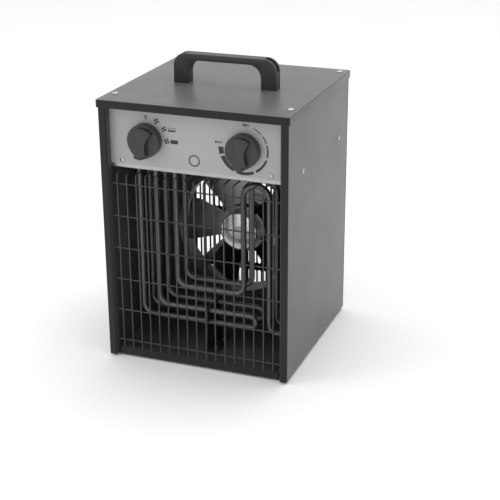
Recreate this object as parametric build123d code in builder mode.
from build123d import *
import math
import os

# A box-shaped electric fan heater. Millimetres, +Z up, the front faces -Y, and the
# origin is on the floor under the middle of the heater.

os.makedirs("parts", exist_ok=True)

# Overall sizes: the cover plate is the widest part, the handle the highest
overall_width = 260.0
overall_depth = 260.0
overall_height = 400.0
handle_rise = 40.0
foot_rise = 3.0

# Sheet metal
sheet = 1.2
bend = 1.5
slip = 0.3
touch_gap = 0.1

# Cover plate
cover_lip = 10.0
cover_overhang = 2.0
cover_corner = 3.0
cover_edge = 1.0

# Front of the body
post_width = 10.5
post_return = 12.0
strip_recess = 6.0
strip_height = 10.0
strip_gap = 3.0
strip_hem = 8.0
rear_flange = 11.0
ledge_width = 15.0
ledge_front_in = 28.0
ledge_rear_in = 8.0
tray_flange_in = 26.8
tray_flange = 12.0

# Control panel
panel_sheet = 1.5
panel_drop = 85.5
panel_screw_in = 26.5
panel_screw_up = 5.0

# Heat shield between the warm duct and the controls
shield_sheet = 1.2
shield_drop = 6.5
shield_front_up = 16.0
shield_side_up = 15.0
side_flange_in = 13.0

# Screws of the sheet metal, read from the photograph
cover_screw_in = 9.0
cover_screw_front_in = 34.0
cover_screw_rear_in = 14.0
side_screw_front_in = 58.0
side_screw_rear_in = 42.0
side_screw_up = 6.0
back_screw_in = 5.5
back_screw_low = 30.0
back_screw_drop = 22.0

# Wire guard
wire = 2.0
wire_count = 17
wire_side_gap = 10.3
cross_count = 6
cross_low = 24.8
cross_top_gap = 14.7
wire_foot = 15.0
wire_drop = 5.0
wire_bend = 4.0
wire_recess = 5.0
wire_reach = 37.0
weld_sink = 0.2
tie_rod = 3.0

# Tubular heating elements
tube = 8.0
tube_bend = 14.0
element_in = 51.0
element_pitch = 30.0
outer_leg_in = 26.8
middle_leg_step = 24.0
inner_leg_step = 28.0
right_leg_step = 26.0
outer_run = 46.0
middle_run = 63.0
inner_run = 94.0
side_run = 44.0
hairpin_gap = 19.5
side_reach_in = 16.8
side_bend = 11.0
top_bend = 17.9
side_turn = 14.9
hairpin_bend = 8.45
top_turn_drop = 19.0
tube_above = 14.0

# Fan and motor
fan_rise = 3.3
duct_radius = 88.0
tip_gap = 4.0
shroud_in = 98.8
shroud_flange = 14.0
shroud_flange_in = 6.8
shroud_screw_in = 38.0
collar_depth = 34.0
ring_flange = 3.5
hub_radius = 27.0
hub_gap = 5.0
hub_depth = 12.0
blade_count = 5
blade_sheet = 1.4
blade_pitch = 25.0
blade_camber = 5.0
blade_chord = 62.0
blade_turn = 175.0
spider_radius = 34.0
motor_gap = 40.0
motor_length = 42.0
motor_radius = 38.0
shaft = 6.0
running = 0.04
bearing_radius = 8.0
arm_sheet = 1.5
arm_width = 14.0

stator_in = 14.0
rotor_radius = 22.0
winding_radius = 34.0
bell_wall = 2.0
boss_depth = 9.0
shaft_proud = 6.0
leg_radius = 92.0
bracket_tab = 16.0
tab_screw = 101.0
bracket_hole = 22.0
motor_screw_radius = 30.0
root_half = 14.0
tip_half = 27.0

# Controls
switch_depth = 32.5
boss_proud = 2.6
spindle_socket = 14.2
spindle_depth = 20.5
selector_size = (40.0, 46.0)
thermostat_size = (42.0, 36.0)
nose_reach = 24.5
nose_width = 11.0
nut_recess = 9.2
scoop = 24.0
knob_x = 66.5
knob_drop = 50.0
knob_skirt = 20.5
knob_skirt_height = 5.0
knob_body = 18.0
knob_height = 18.0
knob_gap = 0.8
grip_half = 6.5
spindle = 6.0
selector_pointer = 195.0
thermostat_pointer = 187.0

# Handle
handle_half = 72.0
handle_opening = 51.0
handle_bar = 8.5
handle_depth = 17.0
handle_y = -6.0
handle_corner = 17.0
groove_width = 9.0
groove_depth = 3.5

# Back panel slots: a short row below and above two tall rows
slot_width = 5.0
slot_count = 28
slot_side_in = 26.75
slot_low = 20.0
slot_top_drop = 23.0
slot_short = 23.0
slot_bridge = 11.0

# Cable gland
gland_in = 43.0
gland_bore = 4.5
gland_thread = 8.0
gland_proud = 6.8

# Small fittings
foot_in = 24.0
foot_radius = 9.0
clip_sheet = 0.8
clip_tab = 16.0
screw_hole = 1.5
screw_shank = 1.4
bulb = 6.0
bulb_in = 28.0
bulb_left = -35.0
bulb_right = 40.0
capillary = 1.6
capillary_x = 52.0
capillary_up = 30.8
cutout_x = 70.0
cutout_y = -10.0
block_x = 0.0
block_y = 50.0
earth_in = 33.0
earth_y = 60.0
support_x = -3.0
support_top = 70.0
fitting_collar = 5.2
fitting_across = 13.0
stud = 3.0

# Places worked out from the sizes above
cover_top = overall_height - handle_rise
cover_under = cover_top - sheet
half_x = overall_width / 2 - cover_overhang
half_y = overall_depth / 2 - cover_overhang
inner_x = half_x - sheet
floor_top = foot_rise + sheet
tray_top = floor_top + sheet
post_inner = half_x - post_width
return_back = -half_y + post_return
strip_half = post_inner - strip_gap
strip_front = -half_y + strip_recess
strip_top = foot_rise + strip_height
back_inner = half_y - sheet
flange_inner = back_inner - sheet
panel_front = return_back
panel_back = panel_front + panel_sheet
panel_bottom = cover_top - panel_drop
panel_screw_x = half_x - panel_screw_in
knob_z = cover_top - knob_drop
cover_screw_x = half_x - cover_screw_in
cover_screws_at = [
    (x, y) for x in (-cover_screw_x, cover_screw_x)
    for y in (cover_screw_front_in - half_y, half_y - cover_screw_rear_in)
]
side_screw_front = side_screw_front_in - half_y
side_screw_rear = half_y - side_screw_rear_in
shield_under = panel_bottom - shield_drop
shield_top = shield_under + shield_sheet
shield_front = panel_back
panel_screw_z = panel_bottom + panel_screw_up
side_screw_z = shield_top + side_screw_up
back_screw_x = half_x - sheet - back_screw_in
back_screw_high = cover_top - back_screw_drop
back_screws_at = [
    (x, z) for x in (-back_screw_x, back_screw_x)
    for z in (back_screw_low, (back_screw_low + back_screw_high) / 2, back_screw_high)
]
gland_x = half_x - gland_in
gland_z = knob_z
slot_pitch = 2 * (half_x - slot_side_in) / (slot_count - 1)
slot_high = shield_under - slot_top_drop
slot_tall = (slot_high - slot_low - 2 * slot_short - 3 * slot_bridge) / 2
slot_starts = [
    slot_low, slot_low + slot_short + slot_bridge,
    slot_high - slot_short - slot_bridge - slot_tall, slot_high - slot_short,
]
slot_rows = list(zip(slot_starts, (slot_short, slot_tall, slot_tall, slot_short)))
wire_y = -half_y + wire_recess
wire_top = shield_under - wire_drop
wire_pitch = 2 * (post_inner - wire_side_gap) / (wire_count - 1)
cross_pitch = (wire_top - cross_top_gap - cross_low) / (cross_count - 1)
cross_y = wire_y + wire - weld_sink
element_front = wire_y + element_in
element_rear = element_front + element_pitch
outer_leg = inner_x - outer_leg_in
middle_leg = outer_leg - middle_leg_step
inner_leg = middle_leg - inner_leg_step
side_reach = inner_x - side_reach_in
right_leg = side_reach - right_leg_step
hairpin_reach = right_leg - hairpin_gap
top_turn = shield_under - top_turn_drop
tube_top = shield_top + tube_above
fan_axis_z = (tray_top + shield_under) / 2 + fan_rise
shroud_front = back_inner - shroud_in
shroud_back = shroud_front + sheet
hub_front = shroud_front + hub_gap
motor_front = shroud_front + motor_gap
stator_front = motor_front + stator_in
stator_back = motor_front + motor_length - stator_in
collar_back = shroud_front + collar_depth
motor_back = motor_front + motor_length
bracket_back = motor_front
bracket_front = motor_front - arm_sheet
handle_leg = (handle_half + handle_opening) / 2
bulb_y = half_y - bulb_in
capillary_z = shield_top + capillary_up
earth_x = half_x - earth_in
switch_back = panel_back + switch_depth
boss_front = panel_front - boss_proud
spindle_end = panel_back + spindle_depth
spindle_front = panel_front - knob_gap - spindle_socket
foot_x = half_x - foot_in
foot_y = half_y - foot_in
feet_at = [(x, y) for x in (-foot_x, foot_x) for y in (-foot_y, foot_y)]
rod_y = wire_y + wire_reach - tie_rod / 2
rod_z = wire_top + wire / 2 + tie_rod / 2 - weld_sink
clips_at = [(x * wire_pitch, rod_y + clip_tab - 6) for x in (-6.5, 0.5, 6.5)]
bulb_clips_at = [(x, bulb_y - clip_tab + 6) for x in (bulb_left + 14, bulb_right - 20)]
bulb_z = shield_under - clip_sheet - bulb / 2
cutout_screws_at = [(cutout_x - 12, cutout_y), (cutout_x + 12, cutout_y)]
block_screws_at = [(block_x - 27, block_y), (block_x + 27, block_y)]
shroud_screw_y = shroud_back + shroud_flange / 2
shroud_screw_x = half_x - shroud_screw_in
shroud_screws_at = [(-shroud_screw_x, shroud_screw_y), (shroud_screw_x, shroud_screw_y)]
support_screws_at = [(support_x + 9, element_front), (support_x + 9, element_rear)]
element_ends = [
    (-x, y) for x in (outer_leg, middle_leg, inner_leg) for y in (element_front, element_rear)
]
spider_back = hub_front + hub_depth + blade_sheet
knob_back = panel_front - knob_gap
tab_offset = tab_screw * math.sqrt(0.5)
tabs = [(x, z) for x in (-tab_offset, tab_offset) for z in (-tab_offset, tab_offset)]


def front_plane(y):
    """A plane at y whose sketches are seen from the front: x to the right, z up."""
    return Plane(origin=(0, y, 0), x_dir=(1, 0, 0), z_dir=(0, -1, 0))


def side_plane(x):
    """A plane at x, with y to the right and z up, for shapes seen from the right."""
    return Plane(origin=(x, 0, 0), x_dir=(0, 1, 0), z_dir=(1, 0, 0))


def bent_sheet(points, thickness, radius=bend):
    """The outline of a strip of sheet that is bent along the points."""
    with BuildSketch() as strip:
        with BuildLine():
            FilletPolyline(*points, radius=radius)
            offset(amount=thickness / 2, side=Side.BOTH)
        make_face()
    return strip.sketch


def pan_screw(head_radius, head_height, shank_radius, length):
    """A domed cross-head screw, head up, with the underside of its head at z = 0."""
    recess = head_radius * 0.28
    with BuildPart() as screw:
        with BuildSketch(Plane.XZ):
            with BuildLine():
                Line((0, -length), (shank_radius, -length))
                Line((shank_radius, -length), (shank_radius, 0))
                Line((shank_radius, 0), (head_radius, 0))
                Line((head_radius, 0), (head_radius, head_height * 0.35))
                ThreePointArc(
                    (head_radius, head_height * 0.35),
                    (head_radius * 0.62, head_height * 0.85),
                    (0, head_height),
                )
                Line((0, head_height), (0, -length))
            make_face()
        revolve(axis=Axis.Z)
        with BuildSketch(Plane.XY.offset(head_height * 0.3)):
            Rectangle(head_radius * 1.1, recess)
            Rectangle(recess, head_radius * 1.1)
        extrude(amount=head_height, mode=Mode.SUBTRACT)
    return screw.part


def hex_nut(across, thickness, hole_radius):
    """A nut lying on z = 0 with a plain bore."""
    with BuildPart() as nut:
        with BuildSketch():
            RegularPolygon(radius=across / 2, side_count=6, major_radius=False)
            Circle(hole_radius, mode=Mode.SUBTRACT)
        extrude(amount=thickness)
    return nut.part


def facing(x, y, z, normal):
    """Where a screw's head rests, and which way the head looks."""
    return Plane(origin=(x, y, z), z_dir=normal).location


# Side shell: one wrapped sheet makes both sides and the bottom. Its front edges fold
# in as posts with a return, its rear edges as flanges for the back panel.
with BuildPart() as side_shell:
    for side in (-1, 1):
        fold = [
            (side * (post_inner + sheet / 2), return_back - sheet / 2),
            (side * (post_inner + sheet / 2), -half_y + sheet / 2),
            (side * (half_x - sheet / 2), -half_y + sheet / 2),
            (side * (half_x - sheet / 2), flange_inner + sheet / 2),
            (side * (half_x - rear_flange), flange_inner + sheet / 2),
        ]
        with BuildSketch(Plane.XY.offset(foot_rise)):
            add(bent_sheet(fold, sheet))
        extrude(amount=cover_under - foot_rise)
        with BuildSketch(Plane.XY.offset(foot_rise)):
            with Locations((side * (half_x - sheet / 2), (half_y + flange_inner) / 2)):
                Rectangle(sheet, half_y - flange_inner)
        extrude(amount=cover_under - foot_rise)
        with BuildSketch(Plane.XY.offset(cover_under)):
            ledge_length = 2 * half_y - ledge_front_in - ledge_rear_in
            with Locations((side * (half_x - ledge_width / 2), half_y - ledge_rear_in)):
                Rectangle(ledge_width, ledge_length, align=(Align.CENTER, Align.MAX))
        extrude(amount=-sheet)
    with BuildSketch(Plane.XY.offset(foot_rise)):
        with Locations((0, (strip_front + flange_inner + sheet) / 2)):
            Rectangle(2 * inner_x, flange_inner + sheet - strip_front)
    extrude(amount=sheet)
    with BuildSketch(front_plane(half_y)) as outline:
        with Locations((0, (cover_under + foot_rise) / 2)):
            Rectangle(2 * half_x, cover_under - foot_rise)
        fillet(outline.vertices().group_by(Axis.Y)[0], radius=bend)
    extrude(amount=2 * half_y, mode=Mode.INTERSECT)
    with Locations(*[(x, y, cover_under) for x, y in cover_screws_at]):
        Hole(radius=screw_hole, depth=2 * sheet)
    with BuildSketch(side_plane(-half_x - 1)):
        with Locations((side_screw_front, side_screw_z), (side_screw_rear, side_screw_z)):
            Circle(2.1)
    extrude(amount=2 * half_x + 2, mode=Mode.SUBTRACT)
    with BuildSketch(front_plane(half_y)):
        with Locations(*back_screws_at):
            Circle(screw_hole)
    extrude(amount=half_y - flange_inner + sheet, mode=Mode.SUBTRACT)
    with Locations(*[(x, y, floor_top) for x, y in feet_at]):
        Hole(radius=3.2, depth=2 * sheet)
    with Locations(*[(x, y, floor_top) for x, y in shroud_screws_at + support_screws_at]):
        Hole(radius=screw_hole, depth=2 * sheet)
side_shell.part.label = "side_shell"
export_step(side_shell.part, "parts/side_shell.step")

# Base tray: the floor of the warm duct, with the low strip that closes the front
with BuildPart() as base_tray:
    tray_front = return_back + 2 * slip
    with BuildSketch(Plane.XY.offset(floor_top)):
        with Locations((0, (tray_front + flange_inner - slip) / 2)):
            Rectangle(2 * (inner_x - slip), flange_inner - slip - tray_front)
        with Locations((0, (strip_front + tray_front) / 2)):
            Rectangle(2 * strip_half, tray_front - strip_front)
    extrude(amount=sheet)
    strip_fold = [
        (strip_front + strip_hem, strip_top - sheet / 2),
        (strip_front + sheet / 2, strip_top - sheet / 2),
        (strip_front + sheet / 2, floor_top + sheet / 2),
    ]
    with BuildSketch(side_plane(-strip_half)):
        add(bent_sheet(strip_fold, sheet, radius=0.9))
    extrude(amount=2 * strip_half)
    with BuildSketch(front_plane(flange_inner - slip)):
        with Locations((0, floor_top)):
            Rectangle(
                2 * (inner_x - tray_flange_in), tray_flange, align=(Align.CENTER, Align.MIN)
            )
    extrude(amount=sheet)
    with Locations(*[(x, y, tray_top) for x, y in feet_at]):
        Hole(radius=3.2, depth=2 * sheet)
    with Locations(*[(x, y, tray_top) for x, y in shroud_screws_at + support_screws_at]):
        Hole(radius=screw_hole, depth=2 * sheet)
base_tray.part.label = "base_tray"
export_step(base_tray.part, "parts/base_tray.step")

# Rubber feet, pushed up through the floor
with BuildPart() as rubber_feet:
    with BuildSketch(Plane.XZ):
        with BuildLine():
            Polyline(
                (0, 0), (foot_radius - 1, 0), (foot_radius, 1), (foot_radius, foot_rise),
                (3.0, foot_rise),
                (3.0, tray_top + touch_gap), (4.0, tray_top + touch_gap), (3.0, tray_top + 2.5),
                (0, tray_top + 2.5), close=True,
            )
        make_face()
    foot = revolve(axis=Axis.Z, mode=Mode.PRIVATE)
    with Locations(*feet_at):
        add(foot)
rubber_feet.part.label = "rubber_feet"
export_step(rubber_feet.part, "parts/rubber_feet.step")

# Top cover: a shallow lid with rounded corners whose lip hangs over the shell
with BuildPart() as top_cover:
    with BuildSketch(Plane.XY.offset(cover_top - cover_lip)):
        RectangleRounded(overall_width, overall_depth, cover_corner)
    extrude(amount=cover_lip)
    fillet(top_cover.faces().sort_by(Axis.Z)[-1].edges(), radius=cover_edge)
    with BuildSketch(Plane.XY.offset(cover_top - cover_lip)):
        RectangleRounded(
            overall_width - 2 * sheet, overall_depth - 2 * sheet, cover_corner - sheet
        )
    extrude(amount=cover_lip - sheet, mode=Mode.SUBTRACT)
    with Locations(*[(x, y, cover_top) for x, y in cover_screws_at]):
        Hole(radius=2.1, depth=2 * sheet)
    with Locations(*[(x, handle_y, cover_top) for x in (-handle_leg, handle_leg)]):
        Hole(radius=2.8, depth=2 * sheet)
top_cover.part.label = "top_cover"
export_step(top_cover.part, "parts/top_cover.step")

# Cover screws
with BuildPart() as cover_screws:
    cover_screw = pan_screw(4.6, 2.8, 1.45, 9)
    for x, y in cover_screws_at:
        add(cover_screw.moved(facing(x, y, cover_top, (0, 0, 1))))
cover_screws.part.label = "cover_screws"
export_step(cover_screws.part, "parts/cover_screws.step")

# Handle: a moulded bow with rounded shoulders, each with a groove between its walls
with BuildPart() as handle:
    shoulder_x = handle_half - handle_corner
    shoulder_z = overall_height - handle_corner
    bar_under = overall_height - handle_bar
    with BuildSketch(front_plane(handle_y + handle_depth / 2)) as bow:
        with Locations((0, (cover_top + overall_height) / 2)):
            Rectangle(2 * handle_half, handle_rise)
        fillet(bow.vertices().group_by(Axis.Y)[-1], radius=handle_corner)
    extrude(amount=handle_depth)
    fillet(handle.edges().filter_by(GeomType.LINE).filter_by(Axis.X).group_by(Axis.Z)[-1], 1.5)
    with BuildSketch(front_plane(handle_y + handle_depth / 2)) as gap:
        with Locations((0, cover_top + (bar_under - cover_top) / 2)):
            Rectangle(2 * handle_opening, bar_under - cover_top)
        fillet(gap.vertices().group_by(Axis.Y)[-1], radius=handle_corner)
    extrude(amount=handle_depth, mode=Mode.SUBTRACT)
    for side in (-1, 1):
        with BuildSketch(front_plane(handle_y + groove_width / 2)):
            with Locations((side * shoulder_x, shoulder_z)):
                Circle(handle_corner + 1)
                Circle(handle_corner - groove_depth, mode=Mode.SUBTRACT)
                Rectangle(
                    handle_corner + 1, handle_corner + 1,
                    align=(Align.MIN if side > 0 else Align.MAX, Align.MIN),
                    mode=Mode.INTERSECT,
                )
        extrude(amount=groove_width, mode=Mode.SUBTRACT)
    with BuildSketch(Plane.XY.offset(cover_top)):
        with Locations((-handle_leg, handle_y), (handle_leg, handle_y)):
            Circle(2.05)
    extrude(amount=16, mode=Mode.SUBTRACT)
handle.part.label = "handle"
export_step(handle.part, "parts/handle.step")

# Handle screws, driven up through the cover from below
with BuildPart() as handle_screws:
    handle_screw = pan_screw(4.5, 2.6, 2.0, 14)
    for x in (-handle_leg, handle_leg):
        add(handle_screw.moved(facing(x, handle_y, cover_under, (0, 0, -1))))
handle_screws.part.label = "handle_screws"
export_step(handle_screws.part, "parts/handle_screws.step")

# Back panel with rows of round-ended air slots
with BuildPart() as back_panel:
    back_top = cover_top - cover_lip + 6
    back_low = tray_top + slip
    with BuildSketch(front_plane(half_y)):
        with Locations((0, (back_top + back_low) / 2)):
            Rectangle(2 * (inner_x - slip), back_top - back_low)
        for low, length in slot_rows:
            with Locations((0, low + length / 2)):
                with GridLocations(slot_pitch, 1, slot_count, 1):
                    SlotOverall(length, slot_width, rotation=90, mode=Mode.SUBTRACT)
        with Locations((gland_x, gland_z)):
            Circle(gland_thread + touch_gap, mode=Mode.SUBTRACT)
        with Locations(*back_screws_at):
            Circle(2.1, mode=Mode.SUBTRACT)
    extrude(amount=sheet)
back_panel.part.label = "back_panel"
export_step(back_panel.part, "parts/back_panel.step")

# Back screws reach into the shell's rear flanges
with BuildPart() as back_screws:
    back_screw = pan_screw(3.6, 2, screw_shank, 6)
    for x, z in back_screws_at:
        add(back_screw.moved(facing(x, half_y, z, (0, 1, 0))))
back_screws.part.label = "back_screws"
export_step(back_screws.part, "parts/back_screws.step")

# Control panel: the recessed silver plate that carries both controls
with BuildPart() as control_panel:
    panel_top = cover_under - sheet - slip
    with BuildSketch(front_plane(panel_back)):
        with Locations((0, (panel_bottom + panel_top) / 2)):
            Rectangle(2 * (inner_x - slip), panel_top - panel_bottom)
        with Locations((-knob_x, knob_z), (knob_x, knob_z)):
            Circle(5.2, mode=Mode.SUBTRACT)
        with Locations((-panel_screw_x, panel_screw_z), (panel_screw_x, panel_screw_z)):
            Circle(1.8, mode=Mode.SUBTRACT)
    extrude(amount=panel_sheet)
control_panel.part.label = "control_panel"
export_step(control_panel.part, "parts/control_panel.step")

with BuildPart() as panel_screws:
    panel_screw = pan_screw(3.4, 1.8, screw_shank, 7)
    for x in (-panel_screw_x, panel_screw_x):
        add(panel_screw.moved(facing(x, panel_front, panel_screw_z, (0, -1, 0))))
panel_screws.part.label = "panel_screws"
export_step(panel_screws.part, "parts/panel_screws.step")

# Heat shield: the plate over the warm duct, with edges turned up to the panel and sides
with BuildPart() as heat_shield:
    front_fold = [
        (shield_front + sheet / 2, shield_under + shield_front_up),
        (shield_front + sheet / 2, shield_under + sheet / 2),
        (flange_inner - slip - sheet / 2, shield_under + sheet / 2),
    ]
    with BuildSketch(side_plane(-inner_x + slip)):
        add(bent_sheet(front_fold, shield_sheet))
    extrude(amount=2 * (inner_x - slip))
    for side in (-1, 1):
        with BuildSketch(side_plane(side * (inner_x - sheet / 2) - sheet / 2)):
            with Locations((half_y - side_flange_in, shield_under)):
                Rectangle(
                    2 * half_y - post_return - 2 * side_flange_in, shield_side_up,
                    align=(Align.MAX, Align.MIN),
                )
            with Locations((side_screw_front, side_screw_z), (side_screw_rear, side_screw_z)):
                Circle(screw_hole, mode=Mode.SUBTRACT)
        extrude(amount=sheet)
    with Locations(*[(x, y, shield_top) for x, y in element_ends]):
        Hole(radius=fitting_collar + touch_gap, depth=2 * shield_sheet)
    with Locations((capillary_x, bulb_y, shield_top)):
        Hole(radius=capillary, depth=2 * shield_sheet)
    with Locations((earth_x, earth_y, shield_top)):
        Hole(radius=2.1, depth=2 * shield_sheet)
    small_holes = clips_at + bulb_clips_at + cutout_screws_at + block_screws_at
    with Locations(*[(x, y, shield_top) for x, y in small_holes + shroud_screws_at]):
        Hole(radius=screw_hole, depth=2 * shield_sheet)
    with BuildSketch(front_plane(shield_front + sheet)):
        with Locations((-panel_screw_x, panel_screw_z), (panel_screw_x, panel_screw_z)):
            Circle(screw_hole)
    extrude(amount=2 * sheet, mode=Mode.SUBTRACT)
heat_shield.part.label = "heat_shield"
export_step(heat_shield.part, "parts/heat_shield.step")

# Side screws hold the heat shield between the sides of the shell
with BuildPart() as side_screws:
    side_screw = pan_screw(3.6, 1.7, screw_shank, 7)
    for side in (-1, 1):
        for y in (side_screw_front, side_screw_rear):
            add(side_screw.moved(facing(side * half_x, y, side_screw_z, (side, 0, 0))))
side_screws.part.label = "side_screws"
export_step(side_screws.part, "parts/side_screws.step")

# Wire guard: upright wires that bend back under the heat shield, welded to cross wires
# behind them and to one tie rod above their rear ends
with BuildPart() as front_grille:
    with BuildLine():
        FilletPolyline(
            (0, wire_y, wire_foot), (0, wire_y, wire_top), (0, wire_y + wire_reach, wire_top),
            radius=wire_bend,
        )
    with BuildSketch(Plane.XY.offset(wire_foot)):
        with Locations((0, wire_y)):
            Circle(wire / 2)
    upright = sweep(mode=Mode.PRIVATE)
    with GridLocations(wire_pitch, 1, wire_count, 1):
        add(upright)
    with BuildSketch(side_plane(-post_inner)):
        for row in range(cross_count):
            with Locations((cross_y, cross_low + row * cross_pitch)):
                Circle(wire / 2)
    extrude(amount=2 * post_inner)
    with BuildSketch(side_plane(-post_inner + 5)):
        with Locations((rod_y, rod_z)):
            Circle(tie_rod / 2)
    extrude(amount=2 * (post_inner - 5))
front_grille.part.label = "front_grille"
export_step(front_grille.part, "parts/front_grille.step")


def wrap_clip(x, y, z, radius, reach):
    """A clip under the heat shield: a ring round a rod along x and a tab toward reach."""
    with BuildPart() as clip:
        with BuildSketch(side_plane(x - 3)):
            with Locations((y, z)):
                Circle(radius + touch_gap / 2 + clip_sheet)
            with Locations((y + reach * clip_tab / 2, shield_under - clip_sheet / 2)):
                Rectangle(clip_tab, clip_sheet)
            with Locations((y, z)):
                Circle(radius + touch_gap / 2, mode=Mode.SUBTRACT)
            with Locations((y, shield_under + 5)):
                Rectangle(20, 10, mode=Mode.SUBTRACT)
        extrude(amount=6)
        with Locations((x, y + reach * (clip_tab - 6), shield_under)):
            Hole(radius=screw_hole + touch_gap, depth=2 * clip_sheet)
    return clip.part


# Clips screwed under the heat shield wrap the guard's tie rod
with BuildPart() as grille_clips:
    for x, y in clips_at:
        add(wrap_clip(x, rod_y, rod_z, tie_rod / 2, 1))
grille_clips.part.label = "grille_clips"
export_step(grille_clips.part, "parts/grille_clips.step")

# The thermostat's bulb hangs in the incoming air, its capillary runs to the control
with BuildPart() as thermostat_bulb:
    with BuildSketch(side_plane(bulb_left)):
        with Locations((bulb_y, bulb_z)):
            Circle(bulb / 2)
    extrude(amount=bulb_right - bulb_left)
    fillet(thermostat_bulb.edges().filter_by(GeomType.CIRCLE), radius=bulb / 2 - 0.9)
    with BuildLine():
        FilletPolyline(
            (bulb_right - 0.5, bulb_y, bulb_z),
            (capillary_x, bulb_y, bulb_z),
            (capillary_x, bulb_y, capillary_z),
            (capillary_x, switch_back, capillary_z),
            radius=5,
        )
    with BuildSketch(side_plane(bulb_right - 0.5)):
        with Locations((bulb_y, bulb_z)):
            Circle(capillary / 2)
    sweep()
thermostat_bulb.part.label = "thermostat_bulb"
export_step(thermostat_bulb.part, "parts/thermostat_bulb.step")

with BuildPart() as bulb_clips:
    for x, y in bulb_clips_at:
        add(wrap_clip(x, bulb_y, bulb_z, bulb / 2, -1))
bulb_clips.part.label = "bulb_clips"
export_step(bulb_clips.part, "parts/bulb_clips.step")

# A bimetal cut-out on its flange, under the heat shield
with BuildPart() as thermal_cutout:
    with BuildSketch(Plane.XY.offset(shield_under)):
        with Locations((cutout_x, cutout_y)):
            SlotOverall(32, 9)
            with Locations((-12, 0), (12, 0)):
                Circle(screw_hole + touch_gap, mode=Mode.SUBTRACT)
    extrude(amount=-clip_sheet)
    with BuildSketch(Plane.XY.offset(shield_under)):
        with Locations((cutout_x, cutout_y)):
            Circle(8)
    extrude(amount=-7)
    for x in (cutout_x - 3.5, cutout_x + 3.5):
        with Locations((x, cutout_y, shield_under - 10)):
            Box(0.8, 6, 7)
thermal_cutout.part.label = "thermal_cutout"
export_step(thermal_cutout.part, "parts/thermal_cutout.step")

# Small screws driven up into the heat shield
with BuildPart() as clip_screws:
    small_screw = pan_screw(2.8, 1.6, screw_shank, 5)
    for x, y in clips_at + bulb_clips_at + cutout_screws_at:
        add(small_screw.moved(facing(x, y, shield_under - clip_sheet, (0, 0, -1))))
clip_screws.part.label = "clip_screws"
export_step(clip_screws.part, "parts/clip_screws.step")


def hairpin(y):
    """An L-shaped element in the plane y: down, across under the fan's front, and back."""
    with BuildPart() as element:
        with BuildLine():
            FilletPolyline(
                (-outer_leg, y, tube_top),
                (-outer_leg, y, outer_run),
                (hairpin_reach, y, outer_run),
                (hairpin_reach, y, middle_run),
                (-middle_leg, y, middle_run),
                (-middle_leg, y, tube_top),
                radius=[tube_bend, hairpin_bend, hairpin_bend, tube_bend],
            )
        with BuildSketch(Plane.XY.offset(tube_top)):
            with Locations((-outer_leg, y)):
                Circle(tube / 2)
        sweep()
    return element.part


with BuildPart() as heating_element_1:
    add(hairpin(element_front))
heating_element_1.part.label = "heating_element_1"
export_step(heating_element_1.part, "parts/heating_element_1.step")

with BuildPart() as heating_element_2:
    add(hairpin(element_rear))
heating_element_2.part.label = "heating_element_2"
export_step(heating_element_2.part, "parts/heating_element_2.step")

# The third element runs through both planes and turns round beside the right wall
with BuildPart() as heating_element_3:
    def half_path(y):
        return [
            (-inner_leg, y, tube_top), (-inner_leg, y, inner_run), (inner_leg, y, inner_run),
            (inner_leg, y, top_turn), (right_leg, y, top_turn), (right_leg, y, side_run),
            (side_reach, y, side_run),
        ]

    half_bends = [tube_bend, tube_bend, top_bend, top_bend, side_bend, side_turn]
    with BuildLine():
        FilletPolyline(
            *half_path(element_front), *reversed(half_path(element_rear)),
            radius=half_bends + list(reversed(half_bends)),
        )
    with BuildSketch(Plane.XY.offset(tube_top)):
        with Locations((-inner_leg, element_front)):
            Circle(tube / 2)
    sweep()
heating_element_3.part.label = "heating_element_3"
export_step(heating_element_3.part, "parts/heating_element_3.step")

# Brass fittings clamp each element end in the heat shield
with BuildPart() as element_fittings:
    collar_top = shield_top + 5.5
    fitting_bore = tube / 2 + running
    with BuildSketch(Plane.XY.offset(shield_under - 4)):
        RegularPolygon(radius=fitting_across / 2, side_count=6, major_radius=False)
    extrude(amount=4)
    with BuildSketch(Plane.XY.offset(shield_under)):
        Circle(fitting_collar)
    extrude(amount=collar_top - shield_under)
    with Locations((0, 0, collar_top)):
        Hole(radius=fitting_bore)
    lower_fitting = element_fittings.part
with BuildPart() as element_fittings:
    upper_nut = hex_nut(fitting_across, 4, fitting_collar + 0.05)
    for x, y in element_ends:
        add(lower_fitting.moved(Location((x, y, 0))))
        add(upper_nut.moved(Location((x, y, shield_top))))
element_fittings.part.label = "element_fittings"
export_step(element_fittings.part, "parts/element_fittings.step")

with BuildPart() as element_insulators:
    for x, y in element_ends:
        with Locations((x, y, tube_top)):
            Cylinder(3.2, 5, align=(Align.CENTER, Align.CENTER, Align.MIN))
        with Locations((x, y, tube_top + 5)):
            Hole(radius=stud / 2 + 0.05, depth=5)
element_insulators.part.label = "element_insulators"
export_step(element_insulators.part, "parts/element_insulators.step")

with BuildPart() as element_terminals:
    terminal_nut = hex_nut(6, 2.4, stud / 2 - 0.3)
    for x, y in element_ends:
        with Locations((x, y, tube_top)):
            Cylinder(stud / 2, 15, align=(Align.CENTER, Align.CENTER, Align.MIN))
        add(terminal_nut.moved(Location((x, y, tube_top + 5))))
element_terminals.part.label = "element_terminals"
export_step(element_terminals.part, "parts/element_terminals.step")

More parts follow.
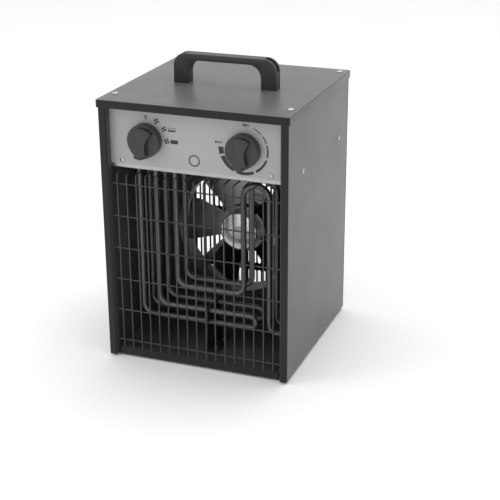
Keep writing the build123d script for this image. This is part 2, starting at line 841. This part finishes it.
# A stand on the tray carries the long runs of the elements
with BuildPart() as element_support:
    with BuildSketch(side_plane(support_x)):
        for y in (element_front, element_rear):
            with Locations((y, tray_top)):
                Rectangle(22, support_top - tray_top, align=(Align.CENTER, Align.MIN))
        with Locations(((element_front + element_rear) / 2, tray_top)):
            Rectangle(element_pitch + 22, 12, align=(Align.CENTER, Align.MIN))
        for y in (element_front, element_rear):
            with Locations((y, outer_run), (y, middle_run)):
                Circle(tube / 2 + 0.2, mode=Mode.SUBTRACT)
    extrude(amount=arm_sheet)
    with BuildSketch(Plane.XY.offset(tray_top)):
        with Locations((support_x, (element_front + element_rear) / 2)):
            Rectangle(15, element_pitch + 22, align=(Align.MIN, Align.CENTER))
        with Locations(*support_screws_at):
            Circle(screw_hole + touch_gap, mode=Mode.SUBTRACT)
    extrude(amount=arm_sheet)
element_support.part.label = "element_support"
export_step(element_support.part, "parts/element_support.step")

# Fan shroud: a wall across the duct with a round opening, flanged above and below
with BuildPart() as fan_shroud:
    with BuildSketch(front_plane(shroud_back)):
        with Locations((0, (shield_under + tray_top) / 2)):
            Rectangle(2 * (inner_x - slip), shield_under - tray_top)
        with Locations((0, fan_axis_z)):
            Circle(duct_radius, mode=Mode.SUBTRACT)
            with Locations(*tabs):
                Circle(screw_hole, mode=Mode.SUBTRACT)
    extrude(amount=sheet)
    for z in (tray_top, shield_under - sheet):
        with BuildSketch(Plane.XY.offset(z)):
            with Locations((0, shroud_back)):
                Rectangle(
                    2 * (inner_x - shroud_flange_in), shroud_flange,
                    align=(Align.CENTER, Align.MIN),
                )
            with Locations(*shroud_screws_at):
                Circle(screw_hole, mode=Mode.SUBTRACT)
        extrude(amount=sheet)
fan_shroud.part.label = "fan_shroud"
export_step(fan_shroud.part, "parts/fan_shroud.step")

# Duct ring: the round collar behind the shroud's opening, on a narrow flange
with BuildPart() as duct_ring:
    with BuildSketch(front_plane(collar_back)):
        with Locations((0, fan_axis_z)):
            Circle(duct_radius + sheet)
            Circle(duct_radius, mode=Mode.SUBTRACT)
    extrude(amount=collar_back - shroud_back)
    with BuildSketch(front_plane(shroud_back + sheet)):
        with Locations((0, fan_axis_z)):
            Circle(duct_radius + ring_flange)
            Circle(duct_radius, mode=Mode.SUBTRACT)
    extrude(amount=sheet)
duct_ring.part.label = "duct_ring"
export_step(duct_ring.part, "parts/duct_ring.step")

# Sheet screws of the shroud and of the element stand
with BuildPart() as shroud_screws:
    for x, y in shroud_screws_at:
        add(small_screw.moved(facing(x, y, shield_top, (0, 0, 1))))
    short_screw = pan_screw(2.8, 1.6, screw_shank, 3.8)
    for x, y in shroud_screws_at:
        add(short_screw.moved(facing(x, y, tray_top + sheet, (0, 0, 1))))
    for x, y in support_screws_at:
        add(short_screw.moved(facing(x, y, tray_top + arm_sheet, (0, 0, 1))))
shroud_screws.part.label = "shroud_screws"
export_step(shroud_screws.part, "parts/shroud_screws.step")


def around_fan(angle):
    """A turn about the fan's axis that takes +X to the angle, as seen from the front."""
    return Pos(0, 0, fan_axis_z) * Rot(0, -angle, 0)


# Motor bracket: a ring on four arms whose legs step over the collar to the shroud
with BuildPart() as motor_bracket:
    with BuildSketch(Plane.XZ.offset(-bracket_back)):
        Circle(motor_radius)
        Rectangle(2 * leg_radius + 2 * arm_sheet, arm_width)
        Rectangle(arm_width, 2 * leg_radius + 2 * arm_sheet)
        Circle(bracket_hole, mode=Mode.SUBTRACT)
        with PolarLocations(motor_screw_radius, 4, start_angle=45):
            Circle(screw_hole + touch_gap, mode=Mode.SUBTRACT)
    extrude(amount=arm_sheet)
    leg_centre = leg_radius + arm_sheet / 2
    tab_centre = leg_radius + bracket_tab / 2
    for turn in range(4):
        with Locations(Rot(0, 90 * turn, 0)):
            with Locations((leg_centre, (bracket_back + shroud_back) / 2, 0)):
                Box(arm_sheet, bracket_back - shroud_back, arm_width)
            with Locations((tab_centre, shroud_back + arm_sheet / 2, 0)):
                Box(bracket_tab, arm_sheet, arm_width)
    for turn in range(4):
        with Locations(Rot(0, 90 * turn, 0)):
            with Locations(Location((tab_screw, shroud_back + arm_sheet / 2, 0), (90, 0, 0))):
                Cylinder(screw_hole + touch_gap, 2 * arm_sheet, mode=Mode.SUBTRACT)
    upright_bracket = motor_bracket.part
with BuildPart() as motor_bracket:
    add(upright_bracket.moved(around_fan(45)))
motor_bracket.part.label = "motor_bracket"
export_step(motor_bracket.part, "parts/motor_bracket.step")

with BuildPart() as bracket_screws:
    for x, z in tabs:
        place = facing(x, shroud_back + arm_sheet, fan_axis_z + z, (0, 1, 0))
        add(small_screw.moved(place))
bracket_screws.part.label = "bracket_screws"
export_step(bracket_screws.part, "parts/bracket_screws.step")

motor_screws_at = [
    (x, fan_axis_z + z)
    for x, z in ((-motor_screw_radius, 0), (motor_screw_radius, 0),
                 (0, -motor_screw_radius), (0, motor_screw_radius))
]
with BuildPart() as motor_screws:
    for x, z in motor_screws_at:
        add(small_screw.moved(facing(x, bracket_front, z, (0, -1, 0))))
motor_screws.part.label = "motor_screws"
export_step(motor_screws.part, "parts/motor_screws.step")


def motor_bell(wall_y, open_y):
    """A cup round the fan's axis with a bearing boss, its wall at wall_y."""
    step = 1 if open_y > wall_y else -1
    with BuildPart() as bell:
        with BuildSketch(Plane.XY):
            with BuildLine():
                Polyline(
                    (bearing_radius + 0.02, wall_y),
                    (motor_radius, wall_y),
                    (motor_radius, open_y),
                    (motor_radius - bell_wall, open_y),
                    (motor_radius - bell_wall, wall_y + step * bell_wall),
                    (bearing_radius + 3, wall_y + step * bell_wall),
                    (bearing_radius + 3, wall_y + step * boss_depth),
                    (bearing_radius + 0.02, wall_y + step * boss_depth),
                    close=True,
                )
            make_face()
        revolve(axis=Axis.Y)
    return bell.part.moved(Pos(0, 0, fan_axis_z))


with BuildPart() as motor_front_bell:
    add(motor_bell(motor_front, stator_front))
    with BuildSketch(front_plane(motor_front + bell_wall)):
        with Locations(*motor_screws_at):
            Circle(screw_hole)
    extrude(amount=bell_wall, mode=Mode.SUBTRACT)
motor_front_bell.part.label = "motor_front_bell"
export_step(motor_front_bell.part, "parts/motor_front_bell.step")

with BuildPart() as motor_rear_bell:
    add(motor_bell(motor_back, stator_back))
motor_rear_bell.part.label = "motor_rear_bell"
export_step(motor_rear_bell.part, "parts/motor_rear_bell.step")


def turned(radius, bore, front, back):
    """A round piece on the fan's axis between two depths, with a bore."""
    with BuildPart() as piece:
        with BuildSketch(front_plane(back)):
            with Locations((0, fan_axis_z)):
                Circle(radius)
                if bore > 0:
                    Circle(bore, mode=Mode.SUBTRACT)
        extrude(amount=back - front)
    return piece.part


with BuildPart() as motor_stator:
    add(turned(motor_radius, rotor_radius + 0.5, stator_front, stator_back))
motor_stator.part.label = "motor_stator"
export_step(motor_stator.part, "parts/motor_stator.step")

with BuildPart() as motor_windings:
    add(turned(winding_radius, rotor_radius + 2, stator_front - 6, stator_front))
    add(turned(winding_radius, rotor_radius + 2, stator_back, stator_back + 6))
motor_windings.part.label = "motor_windings"
export_step(motor_windings.part, "parts/motor_windings.step")

with BuildPart() as motor_bearings:
    add(turned(bearing_radius, shaft / 2 + running, motor_front, motor_front + boss_depth))
    add(turned(bearing_radius, shaft / 2 + running, motor_back - boss_depth, motor_back))
motor_bearings.part.label = "motor_bearings"
export_step(motor_bearings.part, "parts/motor_bearings.step")

with BuildPart() as motor_rotor:
    add(turned(rotor_radius, shaft / 2 + 0.02, stator_front - 2, stator_back + 2))
motor_rotor.part.label = "motor_rotor"
export_step(motor_rotor.part, "parts/motor_rotor.step")

with BuildPart() as motor_shaft:
    add(turned(shaft / 2, 0, hub_front - shaft_proud, motor_back - 1))
motor_shaft.part.label = "motor_shaft"
export_step(motor_shaft.part, "parts/motor_shaft.step")

# Fan blades: each is cut from a cambered, pitched sheet and joined to the spider disc
with BuildPart() as fan_blades:
    spider_middle = spider_back - blade_sheet / 2
    with BuildSketch(side_plane(hub_radius)):
        with BuildLine():
            run = blade_chord / 2 * math.cos(math.radians(blade_pitch))
            rise = blade_chord / 2 * math.sin(math.radians(blade_pitch))
            ThreePointArc(
                (spider_middle + rise, -run), (spider_middle + blade_camber, 0),
                (spider_middle - rise, run),
            )
            offset(amount=blade_sheet / 2, side=Side.BOTH)
        make_face()
    extrude(amount=duct_radius)
    blade_tip = duct_radius - tip_gap
    with BuildSketch(front_plane(collar_back + 10)) as planform:
        with BuildLine():
            Polyline(
                (hub_radius + 1, -root_half), (72, -tip_half), (95, -tip_half + 6),
                (95, tip_half - 2), (70, tip_half), (hub_radius + 1, root_half), close=True,
            )
        make_face()
        Circle(blade_tip, mode=Mode.INTERSECT)
        fillet(planform.vertices().group_by(Axis.X)[-1], radius=3)
        fillet(planform.vertices().group_by(Axis.Y)[0], radius=8)
        fillet(planform.vertices().group_by(Axis.Y)[-1], radius=8)
    extrude(amount=60, mode=Mode.INTERSECT)
    blade = fan_blades.part
with BuildPart() as fan_blades:
    add(turned(spider_radius, shaft / 2 + 0.02, spider_back - blade_sheet, spider_back))
    for number in range(blade_count):
        add(blade.moved(around_fan(blade_turn + number * 360 / blade_count)))
fan_blades.part.label = "fan_blades"
export_step(fan_blades.part, "parts/fan_blades.step")

# Fan hub: a bright spun cap in front of the spider
with BuildPart() as fan_hub:
    hub_back = hub_front + hub_depth
    with BuildSketch(Plane.XY):
        with BuildLine():
            Polyline(
                (shaft / 2 + 0.02, hub_front), (hub_radius - 1, hub_front),
                (hub_radius, hub_front + 1), (hub_radius, hub_back),
                (hub_radius - 1.5, hub_back), (hub_radius - 1.5, hub_front + 1.5),
                (8, hub_front + 1.5), (8, hub_back), (shaft / 2 + 0.02, hub_back), close=True,
            )
        make_face()
        with Locations((19, hub_front)):
            Rectangle(1, 0.8, mode=Mode.SUBTRACT)
    revolve(axis=Axis.Y)
    spun_hub = fan_hub.part
with BuildPart() as fan_hub:
    add(spun_hub.moved(Pos(0, 0, fan_axis_z)))
fan_hub.part.label = "fan_hub"
export_step(fan_hub.part, "parts/fan_hub.step")

with BuildPart() as hub_nut:
    nut = hex_nut(11, shaft_proud - 1.5, shaft / 2 + 0.02)
    add(nut.moved(facing(0, hub_front, fan_axis_z, (0, -1, 0))))
hub_nut.part.label = "hub_nut"
export_step(hub_nut.part, "parts/hub_nut.step")


def switch_body(x, width, height, terminals):
    """A control behind the panel: a box with a boss and blade terminals at its back."""
    with BuildPart() as body:
        with BuildSketch(front_plane(switch_back)):
            with Locations((x, knob_z)):
                RectangleRounded(width, height, 2)
        extrude(amount=switch_back - panel_back)
        with BuildSketch(front_plane(panel_back)):
            with Locations((x, knob_z)):
                Circle(5)
        extrude(amount=panel_back - boss_front)
        for dx, dz in terminals:
            with Locations((x + dx, switch_back + 4, knob_z + dz)):
                Box(0.8, 8, 6.3)
        with BuildSketch(front_plane(spindle_end)):
            with Locations((x, knob_z)):
                Circle(spindle / 2 + running)
        extrude(amount=spindle_end - boss_front, mode=Mode.SUBTRACT)
    return body.part


with BuildPart() as selector_switch:
    add(switch_body(-knob_x, *selector_size, [(-13, 14), (0, 14), (13, 14), (-13, -14), (13, -14)]))
selector_switch.part.label = "selector_switch"
export_step(selector_switch.part, "parts/selector_switch.step")

with BuildPart() as thermostat_body:
    add(switch_body(knob_x, *thermostat_size, [(8, 8), (8, -8)]))
thermostat_body.part.label = "thermostat_body"
export_step(thermostat_body.part, "parts/thermostat_body.step")

# Nuts on the bosses clamp both controls to the panel
with BuildPart() as switch_nuts:
    boss_nut = hex_nut(14, 2.2, 5.05)
    for x in (-knob_x, knob_x):
        add(boss_nut.moved(facing(x, panel_front, knob_z, (0, -1, 0))))
switch_nuts.part.label = "switch_nuts"
export_step(switch_nuts.part, "parts/switch_nuts.step")


def control_spindle(x):
    """The spindle of a control, from inside its body to the socket of the knob."""
    with BuildPart() as rod:
        with BuildSketch(front_plane(spindle_end - 0.5)):
            with Locations((x, knob_z)):
                Circle(spindle / 2)
        extrude(amount=spindle_end - 0.5 - spindle_front)
    return rod.part


with BuildPart() as selector_spindle:
    add(control_spindle(-knob_x))
selector_spindle.part.label = "selector_spindle"
export_step(selector_spindle.part, "parts/selector_spindle.step")

with BuildPart() as thermostat_spindle:
    add(control_spindle(knob_x))
thermostat_spindle.part.label = "thermostat_spindle"
export_step(thermostat_spindle.part, "parts/thermostat_spindle.step")


def pointer_knob(x, pointer):
    """A knob with a round skirt and a waisted grip whose nose points clockwise from top."""
    with BuildPart() as knob:
        with BuildSketch():
            Circle(knob_skirt)
        extrude(amount=knob_skirt_height)
        fillet(knob.faces().sort_by(Axis.Z)[-1].edges(), radius=0.8)
        with BuildSketch():
            Circle(knob_body)
            with Locations((0, nose_reach - 12)):
                RectangleRounded(nose_width, 24, 1.2)
            with Locations((-grip_half - scoop, 0), (grip_half + scoop, 0)):
                Circle(scoop, mode=Mode.SUBTRACT)
        extrude(amount=knob_height, taper=2)
        fillet(knob.faces().sort_by(Axis.Z)[-1].edges(), radius=0.7)
        with BuildSketch():
            Circle(nut_recess)
        extrude(amount=3, mode=Mode.SUBTRACT)
        with BuildSketch():
            Circle(spindle / 2 + 0.02)
        extrude(amount=knob_back - spindle_front, mode=Mode.SUBTRACT)
    turned_knob = knob.part.moved(Rot(0, 0, -pointer))
    return turned_knob.moved(front_plane(knob_back).location * Pos(x, knob_z, 0))


with BuildPart() as selector_knob:
    add(pointer_knob(-knob_x, selector_pointer))
selector_knob.part.label = "selector_knob"
export_step(selector_knob.part, "parts/selector_knob.step")

with BuildPart() as thermostat_knob:
    add(pointer_knob(knob_x, thermostat_pointer))
thermostat_knob.part.label = "thermostat_knob"
export_step(thermostat_knob.part, "parts/thermostat_knob.step")

# Terminal block on the heat shield
with BuildPart() as terminal_block:
    with BuildSketch(Plane.XY.offset(shield_top)):
        with Locations((block_x, block_y)):
            RectangleRounded(62, 22, 2)
            with Locations((-27, 0), (27, 0)):
                Circle(screw_hole + touch_gap, mode=Mode.SUBTRACT)
    extrude(amount=4)
    with BuildSketch(Plane.XY.offset(shield_top)):
        with Locations((block_x, block_y)):
            Rectangle(46, 22)
    extrude(amount=15)
    for number in range(4):
        with Locations((block_x - 16.5 + 11 * number, block_y, shield_top + 15)):
            Hole(radius=3.2, depth=6)
terminal_block.part.label = "terminal_block"
export_step(terminal_block.part, "parts/terminal_block.step")

with BuildPart() as terminal_screws:
    for number in range(4):
        place = facing(block_x - 16.5 + 11 * number, block_y, shield_top + 10.5, (0, 0, 1))
        add(pan_screw(2.9, 2, 1.2, 1.5).moved(place))
    for x, y in block_screws_at:
        add(pan_screw(2.8, 1.6, screw_shank, 7).moved(facing(x, y, shield_top + 4, (0, 0, 1))))
terminal_screws.part.label = "terminal_screws"
export_step(terminal_screws.part, "parts/terminal_screws.step")

# Cable gland in the back panel, and the nut that holds it
with BuildPart() as cable_gland:
    with BuildSketch(front_plane(half_y + gland_proud)):
        with Locations((gland_x, gland_z)):
            Circle(12)
    extrude(amount=gland_proud)
    fillet(cable_gland.faces().sort_by(Axis.Y)[-1].edges(), radius=2.5)
    with BuildSketch(front_plane(half_y)):
        with Locations((gland_x, gland_z)):
            Circle(gland_thread)
    extrude(amount=16)
    with BuildSketch(front_plane(half_y + gland_proud)):
        with Locations((gland_x, gland_z)):
            Circle(gland_bore)
    extrude(amount=16 + gland_proud, mode=Mode.SUBTRACT)
cable_gland.part.label = "cable_gland"
export_step(cable_gland.part, "parts/cable_gland.step")

with BuildPart() as gland_nut:
    lock_nut = hex_nut(22, 5, gland_thread + 0.05)
    add(lock_nut.moved(facing(gland_x, back_inner, gland_z, (0, -1, 0))))
gland_nut.part.label = "gland_nut"
export_step(gland_nut.part, "parts/gland_nut.step")

# Earth stud through the heat shield with its nut
with BuildPart() as earth_stud:
    add(pan_screw(4, 2.4, 2, 14).moved(facing(earth_x, earth_y, shield_under, (0, 0, -1))))
earth_stud.part.label = "earth_stud"
export_step(earth_stud.part, "parts/earth_stud.step")

with BuildPart() as earth_nut:
    add(hex_nut(8, 3.2, 2.05).moved(Location((earth_x, earth_y, shield_top))))
earth_nut.part.label = "earth_nut"
export_step(earth_nut.part, "parts/earth_nut.step")
